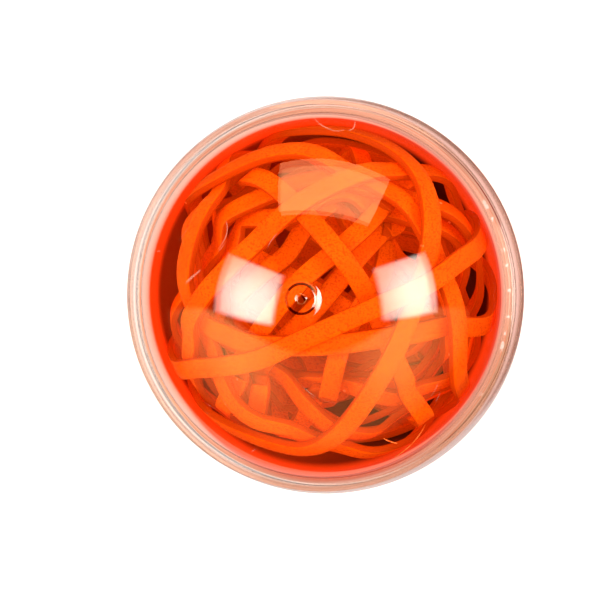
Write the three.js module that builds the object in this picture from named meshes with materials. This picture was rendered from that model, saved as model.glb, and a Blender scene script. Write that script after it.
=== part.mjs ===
// A ball of loose rubber bands in a round two-part capsule: an opaque bowl, a clear lid that pulls
// off it, and the nest of bands packed inside. Millimetres, +Z up through the pole of the lid, with
// the origin at the centre of the ball.
import * as THREE from "three";

// Driving dimensions of the capsule.
const BELT_RADIUS = 32.5; // outer surface of the lid's skirt, a zone of a sphere
const DOME_RADIUS = 31.8; // outer surface of the lid above the skirt
const LID_BORE = 30.2; // inner surface of the lid's dome
const SHOULDER_Z = 7.3; // where the dome meets the top of the skirt
const SKIRT_FOOT_Z = -1.0; // lower edge of the skirt
const SKIRT_BORE = 31.2; // inner wall of the skirt, round the bowl's rim
const LEDGE_Z = 1.9; // step inside the lid that sits on the bowl's rim
const RIM_Z = 1.6; // top face of the bowl's rim
const RIM_BORE = 28.9; // mouth of the bowl
const BOWL_RADIUS = 30.85; // outer surface of the bowl
const BOWL_BORE = Math.hypot(RIM_BORE, RIM_Z); // inner surface of the bowl, centred on the origin
const EDGE = 0.3; // bevel on the free edges of both shells

// The gate mark that moulding leaves on the pole of each shell: a round dimple with a stub in it.
const GATE_MOUTH = 3.1;
const GATE_FLOOR = 2.25;
const GATE_DEPTH = 0.5;
const STUB_RADIUS = 0.8;
const STUB_HEIGHT = 0.3;

// One rubber band, and the nest that they make.
const BAND_WIDTH = 3.3;
const BAND_THICK = 1.15;
const BAND_STEPS = 44; // flat pieces round each band
const BAND_GAP = 0.3; // air kept between two bands that cross
const NEST_RADIUS = 27.4; // centreline of the outermost bands, where the nest is widest
const NEST_Z = -1.5; // height of its widest level
const NEST_BOTTOM = 0.95; // depth of the nest under that level, over its radius
const NEST_TOP = 0.68; // its height above that level: it lies in the bowl, and its top is flatter
const STEEPEST = 0.6; // how fast a band may dive under another, per unit of its run
const DRAPE_PASSES = 4; // rounds of laying a band under the others and easing its slopes
const AIM_PASSES = 3; // rounds of turning a deep band back to where its route shows it
const WIDEST_AIM = 0.84; // no deep band is turned further out than this share of the radius
const SLIDE = 0.13; // how far a band slides towards -X for each millimetre that it sinks
const BAND_COLOUR = 0xff5a0a;

const SHELL_SEGMENTS = 48;
const DOME_STEPS = 8;

const at = (r, z) => new THREE.Vector2(r, z);
const legTo = (radius, other) => Math.sqrt(radius * radius - other * other);
const degrees = THREE.MathUtils.degToRad;

// Points on a circle round the origin, from one height to another.
function arc(radius, fromZ, toZ, steps = DOME_STEPS) {
  const from = Math.asin(fromZ / radius);
  const to = Math.asin(toZ / radius);
  return Array.from({ length: steps + 1 }, (_, i) => {
    const angle = from + ((to - from) * i) / steps;
    return at(radius * Math.cos(angle), radius * Math.sin(angle));
  });
}

// The gate mark on a dome, from the axis out to its mouth.
function gateMark(radius) {
  const mouthZ = legTo(radius, GATE_MOUTH);
  const floorZ = mouthZ - GATE_DEPTH;
  return [
    at(0, floorZ + STUB_HEIGHT),
    at(STUB_RADIUS, floorZ + STUB_HEIGHT),
    at(STUB_RADIUS, floorZ),
    at(GATE_FLOOR, floorZ),
    at(GATE_MOUTH, mouthZ),
  ];
}

// A shell turned round the Z axis from its half section.
function shell(name, section, finish) {
  const mesh = new THREE.Mesh(
    new THREE.LatheGeometry(section, SHELL_SEGMENTS),
    new THREE.MeshStandardMaterial(finish),
  );
  mesh.geometry.rotateX(Math.PI / 2); // a lathe turns round Y, and its height becomes Z
  mesh.name = name;
  return mesh;
}

// The clear lid, from its inner pole out over the ledge, round the skirt and up to the gate mark.
function clearLid() {
  const gateZ = legTo(DOME_RADIUS, GATE_MOUTH);
  const section = [
    at(0, LID_BORE),
    ...arc(LID_BORE, LID_BORE, LEDGE_Z).slice(1),
    at(SKIRT_BORE, LEDGE_Z),
    at(SKIRT_BORE, SKIRT_FOOT_Z),
    at(legTo(BELT_RADIUS, SKIRT_FOOT_Z) - EDGE, SKIRT_FOOT_Z),
    ...arc(BELT_RADIUS, SKIRT_FOOT_Z + EDGE, SHOULDER_Z - EDGE, 3),
    ...arc(DOME_RADIUS, SHOULDER_Z, gateZ).slice(0, -1),
    ...gateMark(DOME_RADIUS).reverse(),
  ];
  return shell("clear_lid", section, {
    color: 0xf4e4dc, roughness: 0.04, metalness: 0, transparent: true, opacity: 0.3,
  });
}

// The opaque bowl, from its gate mark up the outer dome, over the flat rim and down the inside.
function bowl() {
  const gateZ = -legTo(BOWL_RADIUS, GATE_MOUTH);
  const section = [
    ...gateMark(BOWL_RADIUS).map((p) => at(p.x, -p.y)).slice(0, -1),
    ...arc(BOWL_RADIUS, gateZ, 0),
    at(BOWL_RADIUS, RIM_Z - EDGE),
    at(BOWL_RADIUS - EDGE, RIM_Z),
    at(RIM_BORE, RIM_Z),
    ...arc(BOWL_BORE, 0, -BOWL_BORE).slice(0, -1),
    at(0, -BOWL_BORE),
  ];
  return shell("bowl", section, { color: 0xf03c08, roughness: 0.2, metalness: 0 });
}

// The bands that lie outermost over the top of the nest, from the top layer down. Each route is
// [angle down from the lid's pole, bearing from +X], in degrees. An open route crosses the top of
// the nest, and its band comes back underneath through the points opposite.
const OPEN_ROUTES = {
  long_diagonal: [[76, 17], [61, 14], [46, 7], [28, 356], [16, 330], [13, 290], [18, 250],
    [27, 234], [37, 222], [49, 214], [61, 210], [73, 208]],
  wide_arc: [[76, 52], [64, 59], [52, 67], [43, 77], [35, 91], [30, 106], [26, 126], [27, 149],
    [32, 167], [39, 180], [48, 191], [59, 201], [71, 208]],
  top_arc: [[82, 142], [68, 129], [64, 113], [60, 94], [55, 77], [53, 60], [52, 45], [51, 31],
    [53, 14], [57, 358], [62, 343], [72, 330]],
  steep_cross: [[76, 123], [60, 119], [44, 109], [30, 93], [20, 62], [19, 20], [26, 344],
    [35, 328], [46, 319], [58, 314], [74, 311]],
  left_outer_arc: [[84, 124], [76, 136], [69, 148], [65, 161], [64, 174], [64, 187], [61, 201],
    [57, 215], [55, 229], [54, 242], [57, 257], [66, 271]],
  upper_stripe: [[76, 55], [56, 52], [39, 51], [22, 53], [6, 100], [9, 200], [24, 220],
    [42, 226], [60, 228], [76, 229]],
  lower_stripe: [[72, 43], [52, 42], [36, 41], [20, 35], [6, 335], [13, 250], [29, 236],
    [44, 237], [60, 240], [76, 243]],
  inner_right_arc: [[60, 54], [51, 46], [44, 38], [38, 29], [30, 17], [22, 0], [18, 330],
    [21, 305], [28, 290], [39, 280], [51, 274], [64, 268], [78, 262]],
  first_left_stripe: [[70, 166], [60, 154], [52, 146], [46, 138], [42, 127], [40, 113], [42, 96],
    [47, 80], [54, 66], [64, 55]],
  second_left_stripe: [[70, 175], [58, 167], [49, 159], [41, 148], [35, 134], [31, 115],
    [33, 94], [39, 76], [49, 62], [62, 52]],
  low_left_stripe: [[62, 196], [53, 210], [46, 226], [45, 241], [49, 255], [56, 268], [66, 280],
    [78, 290]],
  right_wall_arc: [[86, 62], [77, 52], [71, 41], [68, 28], [66, 14], [66, 0], [69, 347],
    [76, 336], [86, 327]],
  lower_right_stripe: [[66, 258], [58, 270], [54, 284], [58, 298], [66, 310], [76, 322],
    [82, 336]],
  low_rim_stripe: [[80, 248], [74, 262], [71, 278], [72, 294], [77, 310], [84, 326]],
  inner_arc: [[70, 47], [56, 60], [42, 70], [29, 82], [20, 104], [18, 138], [22, 170], [31, 192],
    [44, 204], [58, 212], [72, 218]],
  pole_band: [[72, 150], [54, 147], [36, 145], [19, 142], [5, 110], [14, 344], [30, 332],
    [46, 330], [62, 332], [76, 336]],
  top_slant: [[84, 94], [74, 89], [62, 82], [50, 72], [42, 56], [40, 36], [44, 16], [54, 0],
    [66, 350]],
};
const CLOSED_ROUTES = {
  right_loop: [[84, 100], [79, 80], [76, 65], [71, 53], [63, 42], [54, 30], [46, 17], [40, 2],
    [37, 345], [37, 329], [41, 305], [49, 289], [58, 277], [67, 265], [68, 248], [76, 232],
    [94, 218], [115, 200], [134, 172], [134, 140], [112, 118]],
  hooked_band: [[84, 350], [70, 348], [56, 347], [43, 342], [30, 331], [21, 310], [17, 282],
    [18, 250], [25, 222], [33, 207], [40, 197], [45, 187], [49, 177], [51, 166], [53, 155],
    [56, 144], [61, 136], [69, 131], [80, 129], [94, 125], [109, 108], [119, 72], [119, 35],
    [104, 5]],
};
// From the top layer down.
const LAYERS = ["long_diagonal", "right_loop", "wide_arc", "top_arc", "hooked_band",
  "left_outer_arc", "steep_cross", "first_left_stripe", "upper_stripe", "second_left_stripe",
  "lower_stripe", "low_left_stripe", "inner_right_arc", "lower_right_stripe", "right_wall_arc",
  "low_rim_stripe", "inner_arc", "top_slant", "pole_band"];
// One more lies under them all: a flat loop, tilted and waving to each side, in degrees.
const CORE_TILT = 60;
const CORE_WAVE = 12;
const CORE_WAVES = 3; // round the loop

// The direction that a pair of angles points in from the centre of the ball.
function direction([down, bearing]) {
  const out = Math.sin(degrees(down));
  return new THREE.Vector3(
    out * Math.cos(degrees(bearing)),
    out * Math.sin(degrees(bearing)),
    Math.cos(degrees(down)),
  );
}

// A smooth closed loop of directions through the given ones, at even steps.
function looped(points) {
  const curve = new THREE.CatmullRomCurve3(points, true, "centripetal");
  curve.arcLengthDivisions = 20 * BAND_STEPS;
  return curve.getSpacedPoints(BAND_STEPS).slice(0, -1).map((p) => p.normalize());
}

// The innermost band's loop: a great circle that waves as it goes round.
function coreLoop() {
  const tilt = new THREE.Quaternion()
    .setFromAxisAngle(new THREE.Vector3(1, 0, 0), degrees(CORE_TILT));
  return looped(Array.from({ length: BAND_STEPS }, (_, i) => {
    const round = (2 * Math.PI * i) / BAND_STEPS;
    const wave = degrees(CORE_WAVE) * Math.sin(CORE_WAVES * round);
    return new THREE.Vector3(Math.cos(round), Math.sin(round), Math.tan(wave))
      .applyQuaternion(tilt).normalize();
  }));
}

// The nest is a ball in the bowl with a flatter top. This is the height of its surface in a
// direction, over its radius, and how fast that height changes with the direction's own.
function profile(z) {
  const flatter = Math.max(0, z) * (NEST_BOTTOM - NEST_TOP);
  return { height: z * (NEST_BOTTOM - flatter), rise: NEST_BOTTOM - 2 * flatter };
}

// The place in a direction on the nest's surface, or on the like surface of another radius in it.
function place(out, radius) {
  return new THREE.Vector3(out.x, out.y, profile(out.z).height)
    .multiplyScalar(radius).setZ(radius * profile(out.z).height + NEST_Z);
}

// Which way the surface faces there, and how far it moves that way as the radius grows by one.
function facing(out) {
  const { height, rise } = profile(out.z);
  const face = new THREE.Vector3(rise * out.x, rise * out.y, out.z).normalize();
  return { face, lift: face.dot(new THREE.Vector3(out.x, out.y, height)) };
}

// The axes of a band's section where it runs along a line, its broad face flat on the surface.
function sectionAxes(face, along) {
  const across = along.clone().cross(face).normalize();
  return { across, up: across.clone().cross(along) };
}

// Each step of a loop as a tile on the nest's surface: its middle, axes and half its run.
function tilesOf(loop) {
  return loop.map((here, i) => {
    const next = loop[(i + 1) % loop.length];
    const [from, to] = [here, next].map((out) => place(out, NEST_RADIUS));
    const along = to.clone().sub(from);
    const halfRun = along.length() / 2;
    along.normalize();
    const { face, lift } = facing(here.clone().add(next).normalize());
    const { across } = sectionAxes(face, along);
    return { middle: from.add(to).multiplyScalar(0.5), along, across, halfRun, lift };
  });
}

// Whether two tiles lie over each other: no axis of either parts them. The deeper in the nest a
// band lies, the more of the surface over it its width takes up.
function overlap(a, depthA, b, depthB) {
  const apart = b.middle.clone().sub(a.middle);
  if (apart.length() > 2 * BAND_WIDTH + a.halfRun + b.halfRun) return false;
  const reach = (tile, depth, axis) =>
    Math.abs(tile.along.dot(axis)) * tile.halfRun
    + (Math.abs(tile.across.dot(axis)) * BAND_WIDTH * NEST_RADIUS) / (2 * depth);
  return [a.along, a.across, b.along, b.across].every((axis) =>
    Math.abs(apart.dot(axis)) < reach(a, depthA, axis) + reach(b, depthB, axis) + BAND_GAP / 2);
}

// No step may climb faster than a band bends, so what dives starts early and ends late.
function ease(radii, tiles) {
  const size = radii.length;
  const climb = ({ halfRun, lift }) => (STEEPEST * 2 * halfRun) / lift;
  for (let k = 0; k < 2 * size; k += 1) {
    const [i, next] = [k % size, (k + 1) % size];
    radii[next] = Math.min(radii[next], radii[i] + climb(tiles[i]));
  }
  for (let k = 2 * size; k > 0; k -= 1) {
    const [i, next] = [k % size, (k + 1) % size];
    radii[i] = Math.min(radii[i], radii[next] + climb(tiles[i]));
  }
}

// A route is drawn on a ball as wide as the nest. Where its band has sunk below that ball it keeps
// its distance from the Z axis, but for a slide to one side, so its directions turn out from the
// pole by as much as it lies deeper.
function aimed(route, { loop, radii }) {
  return route.map((out, i) => {
    if (out.z <= 0) return out;
    const sunk = NEST_RADIUS * out.z - place(loop[i], radii[i]).z;
    const wanted = new THREE.Vector3(NEST_RADIUS * out.x - SLIDE * sunk, NEST_RADIUS * out.y, 0);
    const widest = Math.max(Math.hypot(out.x, out.y), WIDEST_AIM);
    const level = Math.min(wanted.length() / radii[i], widest);
    return wanted.setLength(level).setZ(legTo(1, level));
  });
}

// Lays one loop under the bands already laid, and finds its centreline radius at each step.
function drape(route, laid) {
  let draped = drapeOnce(route, laid);
  for (let pass = 1; pass < AIM_PASSES; pass += 1) {
    draped = drapeOnce(aimed(route, draped), laid);
  }
  return draped;
}

// The same for a loop whose directions are settled.
function drapeOnce(loop, laid) {
  const tiles = tilesOf(loop);
  const radii = loop.map(() => NEST_RADIUS);
  const lower = (values, i) => Math.min(values[i], values[(i + 1) % values.length]);
  for (let pass = 0; pass < DRAPE_PASSES; pass += 1) {
    for (const other of laid) {
      tiles.forEach((tile, i) => other.tiles.forEach((cover, j) => {
        if (!overlap(tile, lower(radii, i), cover, lower(other.radii, j))) return;
        const under = lower(other.radii, j) - (BAND_THICK + BAND_GAP) / tile.lift;
        for (const k of [i, (i + 1) % loop.length]) radii[k] = Math.min(radii[k], under);
      }));
    }
    ease(radii, tiles);
  }
  return { loop, tiles, radii };
}

// A band's solid: a flat rectangle carried round its route.
function bandMesh(name, { loop, radii }) {
  const size = loop.length;
  const middles = loop.map((out, i) => place(out, radii[i]));
  const places = [];
  middles.forEach((middle, i) => {
    const along = middles[(i + 1) % size].clone().sub(middles.at(i - 1)).normalize();
    const { across, up } = sectionAxes(facing(loop[i]).face, along);
    for (const [side, level] of [[-1, -1], [1, -1], [1, 1], [-1, 1]]) {
      places.push(...middle.clone()
        .addScaledVector(across, (side * BAND_WIDTH) / 2)
        .addScaledVector(up, (level * BAND_THICK) / 2)
        .toArray());
    }
  });
  const faces = [];
  for (let i = 0; i < size; i += 1) {
    for (let k = 0; k < 4; k += 1) {
      const a = 4 * i + k;
      const b = 4 * i + ((k + 1) % 4);
      const c = 4 * ((i + 1) % size) + ((k + 1) % 4);
      const d = 4 * ((i + 1) % size) + k;
      faces.push(a, c, b, a, d, c);
    }
  }
  const geometry = new THREE.BufferGeometry();
  geometry.setAttribute("position", new THREE.Float32BufferAttribute(places, 3));
  geometry.setIndex(faces);
  geometry.computeVertexNormals();
  const mesh = new THREE.Mesh(
    geometry,
    new THREE.MeshStandardMaterial({ color: BAND_COLOUR, roughness: 0.65, metalness: 0 }),
  );
  mesh.name = name;
  return mesh;
}

// The whole nest: the routed bands from the top layer down, then the one under them.
function nest() {
  const group = new THREE.Group();
  const laid = [];
  const lay = (name, loop) => {
    laid.push(drape(loop, laid));
    group.add(bandMesh(name, laid.at(-1)));
  };
  for (const name of LAYERS) {
    const route = CLOSED_ROUTES[name] ?? OPEN_ROUTES[name];
    const points = route.map(direction);
    const opposite = CLOSED_ROUTES[name] ? [] : points.map((p) => p.clone().negate());
    lay(name, looped([...points, ...opposite]));
  }
  lay("core_band", coreLoop());
  return group;
}

const ball = new THREE.Group();
ball.add(bowl(), nest(), clearLid());
export default ball;
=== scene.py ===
import math

import bmesh
import bpy
import numpy as np
from mathutils import Matrix, Vector


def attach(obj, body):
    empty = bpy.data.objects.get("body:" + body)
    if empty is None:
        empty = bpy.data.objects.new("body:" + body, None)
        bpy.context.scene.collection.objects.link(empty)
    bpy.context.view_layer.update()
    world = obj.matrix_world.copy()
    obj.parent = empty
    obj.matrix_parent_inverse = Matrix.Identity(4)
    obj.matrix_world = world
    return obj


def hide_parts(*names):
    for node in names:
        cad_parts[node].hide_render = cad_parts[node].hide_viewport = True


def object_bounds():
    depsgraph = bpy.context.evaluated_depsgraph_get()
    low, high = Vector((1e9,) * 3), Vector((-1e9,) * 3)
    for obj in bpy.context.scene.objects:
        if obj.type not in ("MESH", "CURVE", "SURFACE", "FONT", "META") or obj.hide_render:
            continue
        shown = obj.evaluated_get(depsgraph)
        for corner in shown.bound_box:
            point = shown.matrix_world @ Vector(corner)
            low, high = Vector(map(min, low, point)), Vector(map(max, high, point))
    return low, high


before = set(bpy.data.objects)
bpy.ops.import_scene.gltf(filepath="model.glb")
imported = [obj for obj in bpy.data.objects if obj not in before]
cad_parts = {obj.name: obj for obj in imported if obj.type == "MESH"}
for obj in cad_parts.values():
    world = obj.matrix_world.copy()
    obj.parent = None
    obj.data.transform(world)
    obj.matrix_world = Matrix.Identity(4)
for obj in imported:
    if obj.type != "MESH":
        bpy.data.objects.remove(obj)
cad_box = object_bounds()

# ---------------------------------------------------------------------------------------------
# The camera. It hangs over the ball and looks down on the clear lid, tipped a few degrees to
# the right, with the ball a little off the middle of the frame.
mm = 0.001
tip_right, tip_up = math.radians(7.4), math.radians(1.2)
camera_distance = 0.8
frame_width = 98.1 * mm
ball_right, ball_up = 4.2 * mm, 0.83 * mm

to_camera = Vector((math.sin(tip_right), math.sin(tip_up), 0))
to_camera.z = math.sqrt(1 - to_camera.length_squared)
frame_right = Vector((0, 1, 0)).cross(to_camera).normalized()
frame_up = to_camera.cross(frame_right)

camera = bpy.data.objects.new("camera", bpy.data.cameras.new("camera"))
bpy.context.scene.collection.objects.link(camera)
camera.data.sensor_width = 36
camera.data.lens = camera.data.sensor_width * camera_distance / frame_width
camera.data.clip_start = 0.01
place = Matrix((frame_right, frame_up, to_camera)).transposed().to_4x4()
place.translation = (to_camera * camera_distance - frame_right * ball_right
                     - frame_up * ball_up)
camera.matrix_world = place
bpy.context.scene.camera = camera
bpy.context.scene.view_settings.view_transform = "Standard"


# ---------------------------------------------------------------------------------------------
# The room: a pale floor under the ball, two softboxes, a dimmer panel behind the ball and the
# pale wall of the tent in front of it. Overhead the room is dark, so the lid stays clear.
class Value:
    """A number or a node's output that takes part in plain arithmetic and adds Math nodes."""

    def __init__(self, nodes, socket):
        self.nodes, self.socket = nodes, socket

    def _math(self, operation, first, second=None):
        inputs = [first] if second is None else [first, second]
        return self.nodes.add("ShaderNodeMath", dict(operation=operation),
                              dict(enumerate(inputs)))

    def __add__(self, other): return self._math("ADD", self, other)
    def __radd__(self, other): return self._math("ADD", other, self)
    def __sub__(self, other): return self._math("SUBTRACT", self, other)
    def __rsub__(self, other): return self._math("SUBTRACT", other, self)
    def __mul__(self, other): return self._math("MULTIPLY", self, other)
    def __rmul__(self, other): return self._math("MULTIPLY", other, self)
    def __truediv__(self, other): return self._math("DIVIDE", self, other)
    def __pow__(self, other): return self._math("POWER", self, other)
    def __abs__(self): return self._math("ABSOLUTE", self)

    def most(self, other): return self._math("MAXIMUM", self, other)
    def least(self, other): return self._math("MINIMUM", self, other)

    def rising(self, low, high):
        """0 below low, 1 above high, and a smooth step between them."""
        return self.nodes.add(
            "ShaderNodeMapRange", dict(interpolation_type="SMOOTHSTEP"),
            {"Value": self, "From Min": low, "From Max": high})


class Nodes:
    """A node tree, and the one way that this file adds a node to it."""

    def __init__(self, tree):
        self.tree = tree
        tree.nodes.clear()

    def add(self, kind, settings=None, inputs=None, output=0):
        """Adds a node, applies its settings, then sets or links its inputs by name or number."""
        node = self.tree.nodes.new(kind)
        for name, value in (settings or {}).items():
            if name == "stops":
                for stop in list(node.color_ramp.elements)[1:]:
                    node.color_ramp.elements.remove(stop)
                for k, (position, colour) in enumerate(value):
                    stop = (node.color_ramp.elements[0] if k == 0
                            else node.color_ramp.elements.new(position))
                    stop.position, stop.color = position, (*colour, 1)
            else:
                setattr(node, name, value)
        for name, value in (inputs or {}).items():
            if isinstance(value, Value):
                self.tree.links.new(value.socket, node.inputs[name])
            else:
                node.inputs[name].default_value = value
        return Value(self, node.outputs[output]) if node.outputs else node

    def parts(self, vector):
        """The three parts of a vector, each as a value."""
        split = self.add("ShaderNodeSeparateXYZ", {}, {"Vector": vector}).socket.node
        return [Value(self, part) for part in split.outputs]

    def mix(self, factor, first, second):
        """A colour between two colours."""
        return self.add("ShaderNodeMix", dict(data_type="RGBA"),
                        {0: factor, 6: first, 7: second}, output=2)


world = bpy.data.worlds.new("room")
world.use_nodes = True
bpy.context.scene.world = world
room = Nodes(world.node_tree)
look_x, look_y, look_z = room.parts(room.add("ShaderNodeTexCoord", output="Generated"))
# The tent's wall ends overhead in a curved edge and is brightest at its two sides.
tent_wall = ((0 - look_y - look_z ** 4.0).rising(0.07, 0.13)
             * look_z.rising(-0.25, -0.1))
tent_sides = 0.95 + 2.4 * abs(look_x).rising(0.2, 0.7) * look_z.rising(-0.1, 0.45)
tent_colour, backdrop_colour = (0.80, 0.41, 0.13, 1), (1, 1, 1, 1)
# The table below is lit, but for a dark patch right under the ball, towards +X and +Y.
table = 1 - look_z.rising(-0.88, -0.78)
table_edge = look_z.rising(-0.95, -0.90).most(1 - (look_x + 0.6 * look_y).rising(0.0, 0.15))
backdrop = room.add("ShaderNodeLightPath", output="Is Camera Ray")
room_light = (tent_sides * tent_wall + 0.8 * table * table_edge).most(backdrop)
room.add("ShaderNodeOutputWorld", {}, {"Surface": room.add("ShaderNodeBackground", {}, {
    "Color": room.mix(tent_wall.rising(0.0, 0.02), backdrop_colour, tent_colour),
    "Strength": room_light})})

lamp_distance = 1.0


def softbox(name, toward, size, radiance, colour=(1, 1, 1), roll=0, lamp_at=None):
    """A flat panel that faces the ball, in the direction given by its right, up and near parts
    in the camera's frame, turned by roll degrees round that direction. Where its lamp is given,
    as parts of its width and height, its cloth is brightest there and fades to its edges."""
    lamp = bpy.data.lights.new(name, "AREA")
    lamp.shape = "RECTANGLE"
    lamp.size, lamp.size_y = size
    lamp.energy = radiance * math.pi * size[0] * size[1]
    lamp.color = colour
    if lamp_at:
        lamp.use_nodes = True
        cloth = Nodes(lamp.node_tree)
        across, along, _ = cloth.parts(cloth.add("ShaderNodeNewGeometry", output="Parametric"))
        off_lamp = ((across - lamp_at[0]) ** 2.0 + (along - lamp_at[1]) ** 2.0) ** 0.5
        to_edge = across.least(1 - across).least(along).least(1 - along)
        cloth.add("ShaderNodeOutputLight", {}, {"Surface": cloth.add("ShaderNodeEmission", {}, {
            "Strength": (1 - 0.66 * off_lamp.rising(0.1, 0.8)) * to_edge.rising(-0.01, 0.08)})})
    out = (frame_right * toward[0] + frame_up * toward[1] + to_camera * toward[2]).normalized()
    panel = bpy.data.objects.new(name, lamp)
    bpy.context.scene.collection.objects.link(panel)
    turn = out.to_track_quat("Z", "Y").to_matrix().to_4x4()
    panel.matrix_world = (Matrix.Translation(out * lamp_distance) @ turn
                          @ Matrix.Rotation(math.radians(roll), 4, "Z"))
    return panel


softbox_light, softbox_colour = 11.2, (1, 0.84, 0.72)
softbox("left_softbox", (-0.735, 0.03, 0.675), (0.58, 0.72), softbox_light, softbox_colour,
        roll=-11, lamp_at=(0.65, 0.6))
softbox("right_softbox", (0.75, 0.06, 0.66), (0.59, 0.66), softbox_light, softbox_colour,
        roll=7, lamp_at=(0.4, 0.35))
softbox("back_panel", (0.04, 0.90, 0.38), (0.95, 0.66), 4.0, (1, 0.49, 0.21))
softbox("overhead_fill", (0, 0, 1), (0.9, 0.9), 2.6).visible_glossy = False

floor_half = 3.0
floor_mesh = bpy.data.meshes.new("floor")
floor_mesh.from_pydata([(x * floor_half, y * floor_half, cad_box[0].z)
                        for x, y in [(-1, -1), (1, -1), (1, 1), (-1, 1)]], [], [(0, 1, 2, 3)])
floor = bpy.data.objects.new("floor", floor_mesh)
bpy.context.scene.collection.objects.link(floor)
floor.visible_glossy = False


def new_material(name):
    """A new material and its nodes, ready for its shader."""
    material = bpy.data.materials.new(name)
    material.use_nodes = True
    return material, Nodes(material.node_tree)


def opaque(nodes, inputs):
    """Makes the surface one Principled shader with these inputs."""
    nodes.add("ShaderNodeOutputMaterial", {}, {
        "Surface": nodes.add("ShaderNodeBsdfPrincipled", {}, inputs)})


floor_paint, nodes = new_material("floor_paint")
opaque(nodes, {"Base Color": (0.86, 0.86, 0.86, 1), "Roughness": 0.9,
               "Emission Color": (1, 1, 1, 1), "Emission Strength": 0.5})
floor_mesh.materials.append(floor_paint)


# ---------------------------------------------------------------------------------------------
# The bowl: the opaque half of the capsule, moulded in glossy red-orange polystyrene. The gate
# that filled it left a shallow dimple with a stub on its pole. Its flat rim carries the lid.

# Sizes are in millimetres, as distances from the axis and heights over the belt. The gate's
# outline has depths under the edge of its dimple instead.
gate_outline = [(0, 0.2), (0.8, 0.2), (0.8, 0.5), (2.25, 0.5), (3.1, 0.0)]
bowl_radius, hollow_radius, mouth_radius = 30.85, 28.944, 28.9
bowl_foot = -30.6
rim_height, rim_chamfer = 1.6, 0.3


def arc(radius, from_z, to_z, count):
    """Points of a circle round the origin, evenly by angle from one height to another: each is
    its distance from the axis and its height."""
    angle = np.linspace(math.asin(from_z / radius), math.asin(to_z / radius), count)
    return np.stack([radius * np.cos(angle), radius * np.sin(angle)], 1)


def gate_mark(radius):
    """The gate's dimple and stub, from the axis to its edge, on a dome of this radius."""
    edge_z = math.sqrt(radius ** 2 - gate_outline[-1][0] ** 2)
    return np.array([(r, edge_z - depth) for r, depth in gate_outline])


def softened(path, reach, count=5):
    """The path with each inner corner replaced by a curve: it starts and ends at most reach from
    the corner, and is the parabola that touches both sides there."""
    path = np.asarray(path, float)
    before, corner, after = path[:-2], path[1:-1], path[2:]
    back, on = before - corner, after - corner
    back_length = np.linalg.norm(back, axis=1, keepdims=True)
    on_length = np.linalg.norm(on, axis=1, keepdims=True)
    start = corner + back * np.minimum(reach / back_length, 0.45)
    end = corner + on * np.minimum(reach / on_length, 0.45)
    t = np.linspace(0, 1, count)[None, :, None]
    curve = ((1 - t) ** 2 * start[:, None] + 2 * t * (1 - t) * corner[:, None]
             + t ** 2 * end[:, None])
    return np.concatenate([path[:1], curve.reshape(-1, 2), path[-1:]])


def new_piece(name, points, faces):
    """A smooth-shaded piece of these points, in metres, and these faces."""
    mesh = bpy.data.meshes.new(name)
    mesh.from_pydata(points.tolist(), [], faces)
    mesh.polygons.foreach_set("use_smooth", np.ones(len(mesh.polygons), bool))
    mesh.update()
    piece = bpy.data.objects.new(name, mesh)
    bpy.context.scene.collection.objects.link(piece)
    return piece


def turned(name, profile, around=192):
    """A closed solid of revolution: each profile point is carried round the Z axis in even
    steps, and the first and last points, on the axis, become one vertex each."""
    profile = np.asarray(profile, float) * mm
    inner = profile[1:-1]
    angle = np.arange(around) * (2 * math.pi / around)
    ring = np.stack([np.outer(inner[:, 0], np.cos(angle)), np.outer(inner[:, 0], np.sin(angle)),
                     np.repeat(inner[:, 1:], around, 1)], -1).reshape(-1, 3)
    first, last = len(ring), len(ring) + 1
    points = np.concatenate([ring, [(0, 0, profile[0, 1]), (0, 0, profile[-1, 1])]])
    row = np.arange(len(inner) - 1)[:, None] * around
    here, beside = np.arange(around), (np.arange(around) + 1) % around
    sides = np.stack([row + here, row + beside, row + around + beside, row + around + here],
                     -1).reshape(-1, 4)
    top = (len(inner) - 1) * around
    start_cap = np.stack([beside, here, np.full(around, first)], 1)
    end_cap = np.stack([top + here, top + beside, np.full(around, last)], 1)
    return new_piece(name, points, sides.tolist() + start_cap.tolist() + end_cap.tolist())


bowl_profile = np.concatenate([
    softened(gate_mark(bowl_radius) * (1, -1), 0.25),
    softened(np.concatenate([arc(bowl_radius, bowl_foot, 0, 60),
                             [(bowl_radius, rim_height - rim_chamfer),
                              (bowl_radius - rim_chamfer, rim_height),
                              (mouth_radius, rim_height)]]), 0.2)[1:],
    arc(hollow_radius, 0, -hollow_radius, 60)[1:],
])
bowl = turned("bowl_shell", bowl_profile)
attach(bowl, "base")
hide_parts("bowl")


def where(nodes):
    """Where on the ball a point is: its coordinates as one vector, then its places along X, Y
    and Z, and its distance from the axis."""
    coords = nodes.add("ShaderNodeTexCoord", output="Object")
    east, north, height = nodes.parts(coords)
    return coords, east, north, height, (east ** 2.0 + north ** 2.0) ** 0.5


def noise(nodes, coords, scale, detail):
    """Smooth noise from 0 to 1, with about scale swells to each unit of its coordinates."""
    return nodes.add("ShaderNodeTexNoise", {}, {"Vector": coords, "Scale": scale,
                                                "Detail": detail})


bowl_plastic, nodes = new_material("bowl_plastic")
coords, east, north, height, out = where(nodes)
mottle = noise(nodes, coords, 90.0, 3.0)
bump = nodes.add("ShaderNodeBump", {}, {"Strength": 0.08, "Distance": 0.05 * mm,
                                        "Height": noise(nodes, coords, 2500.0, 2.0)})
red, pale_red = (0.80, 0.035, 0.0, 1), (0.88, 0.052, 0.0, 1)
plastic = nodes.mix(mottle.rising(0.35, 0.65), red, pale_red)
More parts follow.
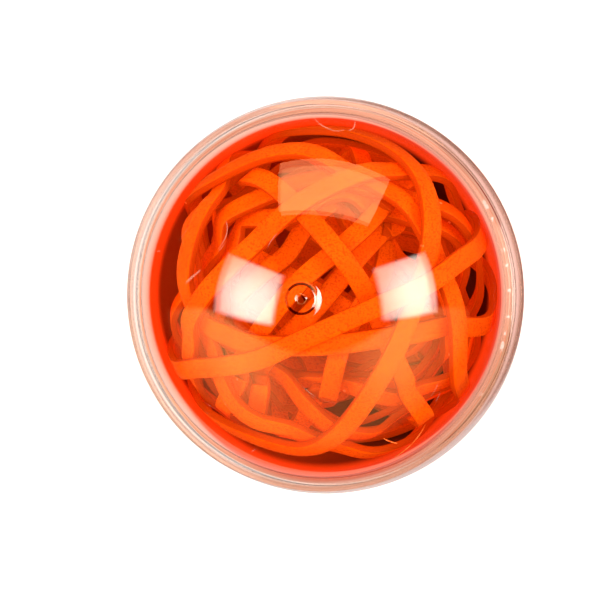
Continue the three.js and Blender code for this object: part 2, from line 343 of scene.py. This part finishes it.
# Inside, the plastic is rougher, and its colour is painted shade: dark brown, darkest towards
# +X.
hollow = 1 - ((out ** 2.0 + height ** 2.0) ** 0.5).rising(29.2 * mm, 29.8 * mm)
hollow_shade_brown, hollow_shade_dark = (0.55, 0.10, 0.0, 1), (0.10, 0.012, 0.0, 1)
hollow_shade = nodes.mix(east.rising(-12 * mm, 16 * mm), hollow_shade_brown, hollow_shade_dark)
# Round the mouth the wall glows red: painted light that stands for light coming in through the
# lid. The glow reaches a little further down on the +X side, and its red lies further out, and
# over the rim, on the -Y side.
leaning = ((east + 0.13 * (rim_height * mm - height)) ** 2.0 + north ** 2.0) ** 0.5
redder = 1.1 * mm * ((0 - north) / out).rising(0.6, 1.0)
mouth = ((leaning - 0.6 * redder).rising(27.1 * mm, 28.2 * mm)
         * (1 - out.rising(28.95 * mm, 29.1 * mm)))
glow = nodes.mix(mouth, (0, 0, 0, 1), (0.72, 0.030, 0.002, 1))
# The rim's pale colour is painted light, an emitted glow over a dark brown base, and a red line
# of painted groove shade runs near its outer edge.
rim = height.rising(0.9 * mm, 1.3 * mm) * out.rising(28.8 * mm, 28.95 * mm)
across_rim = (out - mouth_radius * mm - redder) / ((bowl_radius - mouth_radius) * mm)
painted_rim_light = nodes.add("ShaderNodeValToRGB", dict(stops=[
    (0.0, (1.0, 0.13, 0.06)), (0.16, (1.0, 0.38, 0.27)), (0.35, (1.0, 0.50, 0.36)),
    (0.74, (1.0, 0.54, 0.38)), (0.78, (1.0, 0.22, 0.08)), (0.82, (1.0, 0.61, 0.45)),
    (1.0, (1.0, 0.66, 0.52))]), {0: across_rim})
# On its +X side a chain of painted glints, white specks that glow, runs round it.
glint_band = (out.rising(29.95 * mm, 30.05 * mm) * (1 - out.rising(30.45 * mm, 30.6 * mm))
             * east.rising(24 * mm, 28 * mm))
glints = noise(nodes, coords, 700.0, 2.0).rising(0.56, 0.62) * glint_band
rim_glow = nodes.mix(glints, painted_rim_light, (1.4, 1.2, 1.1, 1))
rim_brown = (0.16, 0.06, 0.04, 1)
opaque(nodes, {
    "Base Color": nodes.mix(rim, nodes.mix(hollow, plastic, hollow_shade), rim_brown),
    "Roughness": 0.16 + 0.1 * mottle + 0.6 * hollow + 0.4 * rim, "Specular IOR Level": 0.4,
    "Normal": bump, "Emission Color": nodes.mix(rim, glow, rim_glow),
    "Emission Strength": 1.55})
bowl.data.materials.append(bowl_plastic)


# ---------------------------------------------------------------------------------------------
# The lid: the clear half, moulded in polystyrene. Its skirt slips over the bowl's rim and a
# ledge inside it rests there; above the skirt a small shoulder steps in to the dome.

# Sizes are in millimetres, as distances from the axis and heights over the belt.
dome_radius, dome_inside, dome_top = 31.8, 30.2, 31.62
ledge_edge, ledge_height = 30.14, 1.9
skirt_inside, skirt_foot, foot_radius = 31.2, -1.0, 32.18
belt_radius, belt_inset = 32.5, 0.3
shoulder_radius, shoulder_height = 30.95, 7.3
gate_reach, gate_foot = 3.3, 30.9

lid_profile = np.concatenate([
    arc(dome_inside, dome_inside, ledge_height + 0.2, 70),
    softened(np.concatenate([
        [(ledge_edge, ledge_height), (skirt_inside, ledge_height),
         (skirt_inside, skirt_foot), (foot_radius, skirt_foot)],
        arc(belt_radius, skirt_foot + belt_inset, shoulder_height - belt_inset, 14),
        [(shoulder_radius, shoulder_height)]]), 0.12),
    arc(dome_radius, shoulder_height + 0.12, dome_top, 60),
    softened(gate_mark(dome_radius)[::-1], 0.3, 7)[1:],
])
lid_profile[0, 0] = 0
lid = turned("clear_lid_shell", lid_profile)
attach(lid, "lid")
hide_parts("clear_lid")


def scratches(nodes, coords):
    """Hairline scratches: thin level lines of a smooth noise, kept only where another noise is
    high, so that each one is short."""
    lines, kept = noise(nodes, coords, 70.0, 0.0), noise(nodes, coords, 160.0, 1.0)
    return (1 - abs(lines - 0.5).rising(0.001, 0.004)) * kept.rising(0.64, 0.72)


def clear(nodes, tint, dark_tint=(1, 1, 1), shade=0.0, gloss=1.0):
    """Clear polystyrene: it lets light straight through and mirrors a twentieth of it face on,
    and the rest by the fifth power of how flat it is seen. Shade goes from 0 for the tint to 1
    for the dark tint. Gloss scales what it mirrors."""
    coords = nodes.add("ShaderNodeTexCoord", output="Object")
    facing = nodes.add("ShaderNodeLayerWeight", {}, {"Blend": 0.5}, output="Facing")
    bump = nodes.add("ShaderNodeBump", {}, {"Strength": 0.3, "Distance": 0.01 * mm,
                                            "Height": noise(nodes, coords, 350.0, 4.0)})
    pale, dark = (nodes.add("ShaderNodeBsdfTransparent", {}, {"Color": (*colour, 1)})
                  for colour in (tint, dark_tint))
    through = nodes.add("ShaderNodeMixShader", {}, {0: shade, 1: pale, 2: dark})
    mirrored = (0.052 + 0.948 * facing ** 5.0) * gloss
    polished = nodes.add("ShaderNodeMixShader", {}, {
        0: mirrored.least(1.0), 1: through, 2: nodes.add("ShaderNodeBsdfGlossy", {}, {
            "Color": (1, 1, 1, 1), "Roughness": 0.0, "Normal": bump})})
    nodes.add("ShaderNodeOutputMaterial", {}, {"Surface": nodes.add("ShaderNodeMixShader", {}, {
        0: 0.2 * scratches(nodes, coords), 1: polished,
        2: nodes.add("ShaderNodeBsdfDiffuse", {}, {"Color": (1, 0.85, 0.75, 1)})})})


dome_plastic, nodes = new_material("clear_plastic")
clear(nodes, (0.99, 0.98, 0.97))

# Streaks that run round it darken the skirt towards its dark tint. Painted shade darkens it the
# same way on its -Y and +Y sides and in a dark line low down on +X.
skirt_plastic, nodes = new_material("skirt_plastic")
_, east, north, height, out = where(nodes)
bearing = nodes.add("ShaderNodeMath", dict(operation="ARCTAN2"), {0: north, 1: east})
round_skirt = nodes.add("ShaderNodeCombineXYZ", {}, {
    "X": out * 2600.0, "Y": height * 900.0, "Z": bearing * 2.2})
streaks = noise(nodes, round_skirt, 1.0, 3.0).rising(0.48, 0.7)
foot_shade = (1 - height.rising(1.0 * mm, 4.5 * mm)) * (east - 0.7 * north).rising(0, 25 * mm)
side_shade = (0.4 * east - north).rising(5 * mm, 30 * mm).most(north.rising(10 * mm, 30 * mm))
clear(nodes, (0.80, 0.73, 0.69), (0.54, 0.43, 0.38),
      shade=(0.4 * streaks + 0.45 * foot_shade + 0.55 * side_shade).least(1.0))

# The wall of the gate's dimple has painted shade in dark crescents at +Y and -Y and a faint one
# at -X, standing for how it bends the view aside. Its reflection is boosted towards +X and on
# its stub and cut towards -X, a painted highlight on its real reflection.
gate_plastic, nodes = new_material("gate_plastic")
_, east, north, _, out = where(nodes)
wall = out.rising(2.1 * mm, 2.2 * mm) * (1 - out.rising(2.5 * mm, 2.65 * mm))
crescent_shade = (abs(north) - 0.3 * out).rising(0.1 * mm, 0.8 * mm).most(
    0.55 * (0 - east).rising(0.5 * mm, 1.2 * mm))
stub = 1 - out.rising(0.9 * mm, 1.2 * mm)
painted_reflection_boost = 1.2 * east.rising(1.0 * mm, 2.2 * mm) - 0.8 * (0 - east).rising(0.4 * mm, 1.4 * mm)
clear(nodes, (0.97, 0.95, 0.93), (0.15, 0.06, 0.03), shade=wall * crescent_shade,
      gloss=1.0 + 1.5 * stub + out.rising(1.0 * mm, 1.6 * mm) * painted_reflection_boost)

for material in (dome_plastic, skirt_plastic, gate_plastic):
    lid.data.materials.append(material)
centres = np.array([face.center for face in lid.data.polygons])
at_gate = ((np.hypot(centres[:, 0], centres[:, 1]) < gate_reach * mm)
           & (centres[:, 2] > gate_foot * mm))
at_skirt = centres[:, 2] < shoulder_height * mm
lid.data.polygons.foreach_set(
    "material_index", np.where(at_gate, 2, np.where(at_skirt, 1, 0)).astype(np.int32))


# ---------------------------------------------------------------------------------------------
# The rubber bands: flat bands cut from an extruded tube of orange rubber, tangled in the
# capsule and held only by lying in each other's way.
orange, pale_orange = (0.82, 0.089, 0.0, 1), (0.90, 0.113, 0.0, 1)
grain_orange, cut_shade_orange = (0.66, 0.050, 0.0, 1), (0.52, 0.040, 0.0, 1)
dust_colour = (1.0, 0.32, 0.12, 1)
corner_angle = 1.0  # in radians: sharper edges are the corners of a band's section
narrow = 2 * mm  # between a band's thickness and its width

rubber, nodes = new_material("band_rubber")
coords = nodes.add("ShaderNodeTexCoord", output="Object")
mottle, speckle = noise(nodes, coords, 220.0, 4.0), noise(nodes, coords, 2800.0, 3.0)
bump = nodes.add("ShaderNodeBump", {}, {"Strength": 0.4, "Distance": 0.06 * mm,
                                        "Height": 0.5 * mottle + 0.5 * speckle})
moulded = nodes.mix(mottle.rising(0.3, 0.7), orange, pale_orange)
grained = nodes.mix(0.9 * speckle.rising(0.47, 0.66), moulded, grain_orange)
cut_face = nodes.add("ShaderNodeAttribute", dict(attribute_name="cut"), output="Fac")
# A few cells of a Voronoi pattern hold one speck of dust each.
cells = nodes.add("ShaderNodeTexVoronoi", {}, {"Vector": coords, "Scale": 520.0,
                                               "Randomness": 1.0})
cell_number = nodes.parts(Value(nodes, cells.socket.node.outputs["Color"]))[0]
dust = (1 - cells.rising(0.10, 0.2)) * cell_number.rising(0.955, 0.96)
# The rubber glows faintly orange: painted light that lifts its shadows.
opaque(nodes, {
    "Base Color": nodes.mix(dust, nodes.mix(cut_face, grained, cut_shade_orange), dust_colour),
    "Roughness": 0.55 + 0.15 * speckle, "Specular IOR Level": 0.06, "Normal": bump,
    "Emission Color": (1.0, 0.12, 0.0, 1), "Emission Strength": 0.13})

for name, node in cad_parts.items():
    if name in ("bowl", "clear_lid"):
        continue
    shape = bmesh.new()
    shape.from_mesh(node.data)
    bmesh.ops.remove_doubles(shape, verts=shape.verts, dist=0.001 * mm)
    bmesh.ops.join_triangles(shape, faces=shape.faces, angle_face_threshold=corner_angle,
                             angle_shape_threshold=3.1)
    crease = shape.edges.layers.float.new("crease_edge")
    for edge in shape.edges:
        if edge.calc_face_angle(0) > corner_angle:
            edge[crease] = 0.97
    # The two narrow faces are where the tube was cut: they are painted darker than the broad
    # ones, as shade.
    cut = shape.faces.layers.float.new("cut")
    for face in shape.faces:
        longest = max(edge.calc_length() for edge in face.edges
                      if edge.calc_face_angle(0) > corner_angle)
        face[cut] = float(face.calc_area() / max(longest, 0.1 * mm) < narrow)
    mesh = bpy.data.meshes.new(f"{name}_rubber")
    shape.to_mesh(mesh)
    shape.free()
    mesh.polygons.foreach_set("use_smooth", np.ones(len(mesh.polygons), bool))
    mesh.materials.clear()
    mesh.materials.append(rubber)
    band = bpy.data.objects.new(f"{name}_rubber", mesh)
    bpy.context.scene.collection.objects.link(band)
    smooth = band.modifiers.new("smooth", "SUBSURF")
    smooth.levels = smooth.render_levels = 2
    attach(band, "base")
    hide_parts(name)


# ---------------------------------------------------------------------------------------------
# Two slivers of rubber, torn off the bands as the ball was packed. They cling to the inside of
# the lid, low down on its -Y side.
sliver_radius = 0.10
sliver_orange, frayed_orange = (0.85, 0.12, 0.01, 1), (1.0, 0.26, 0.06, 1)

torn_rubber, nodes = new_material("torn_rubber")
frayed = noise(nodes, nodes.add("ShaderNodeTexCoord", output="Object"), 1500.0, 2.0)
opaque(nodes, {"Base Color": nodes.mix(frayed.rising(0.4, 0.6), sliver_orange, frayed_orange),
               "Roughness": 0.7, "Specular IOR Level": 0.1})


def sliver(name, start, end, bow, steps=14, around=8):
    """A thread on the inside of the dome between two places, each given as degrees down from the
    pole and degrees from +X. It bows aside by a parabola, and a circle carried along it shrinks
    to nothing at both ends."""
    (first, last) = (np.array([math.sin(down) * math.cos(bearing),
                               math.sin(down) * math.sin(bearing), math.cos(down)])
                     for down, bearing in np.radians([start, end]))
    t = np.linspace(0, 1, steps)[:, None]
    line = (1 - t) * first + t * last + bow * 4 * t * (1 - t) * np.cross(first, last)
    up = line / np.linalg.norm(line, axis=1, keepdims=True)
    along = np.gradient(up, axis=0)
    along /= np.linalg.norm(along, axis=1, keepdims=True)
    side = np.cross(along, up)
    turn = np.arange(around)[None, :, None] * (2 * math.pi / around)
    radius = (sliver_radius * mm * np.sqrt(1.01 - (2 * t - 1) ** 4))[:, None]
    rings = ((dome_inside - 2 * sliver_radius) * mm * up[:, None]
             + radius * (np.cos(turn) * side[:, None] + np.sin(turn) * up[:, None]))
    row = np.arange(steps - 1)[:, None] * around
    here, beside = np.arange(around), (np.arange(around) + 1) % around
    sides = np.stack([row + here, row + around + here, row + around + beside, row + beside],
                     -1).reshape(-1, 4)
    last_ring = (steps - 1) * around
    thread = new_piece(name, rings.reshape(-1, 3), sides.tolist()
                       + [here.tolist(), (last_ring + here[::-1]).tolist()])
    thread.data.materials.append(torn_rubber)
    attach(thread, "lid")


sliver("long_sliver", (64.6, -49.2), (73.8, -65.1), 0.06)
sliver("short_sliver", (57.4, -63.4), (64.2, -60.6), -0.03)
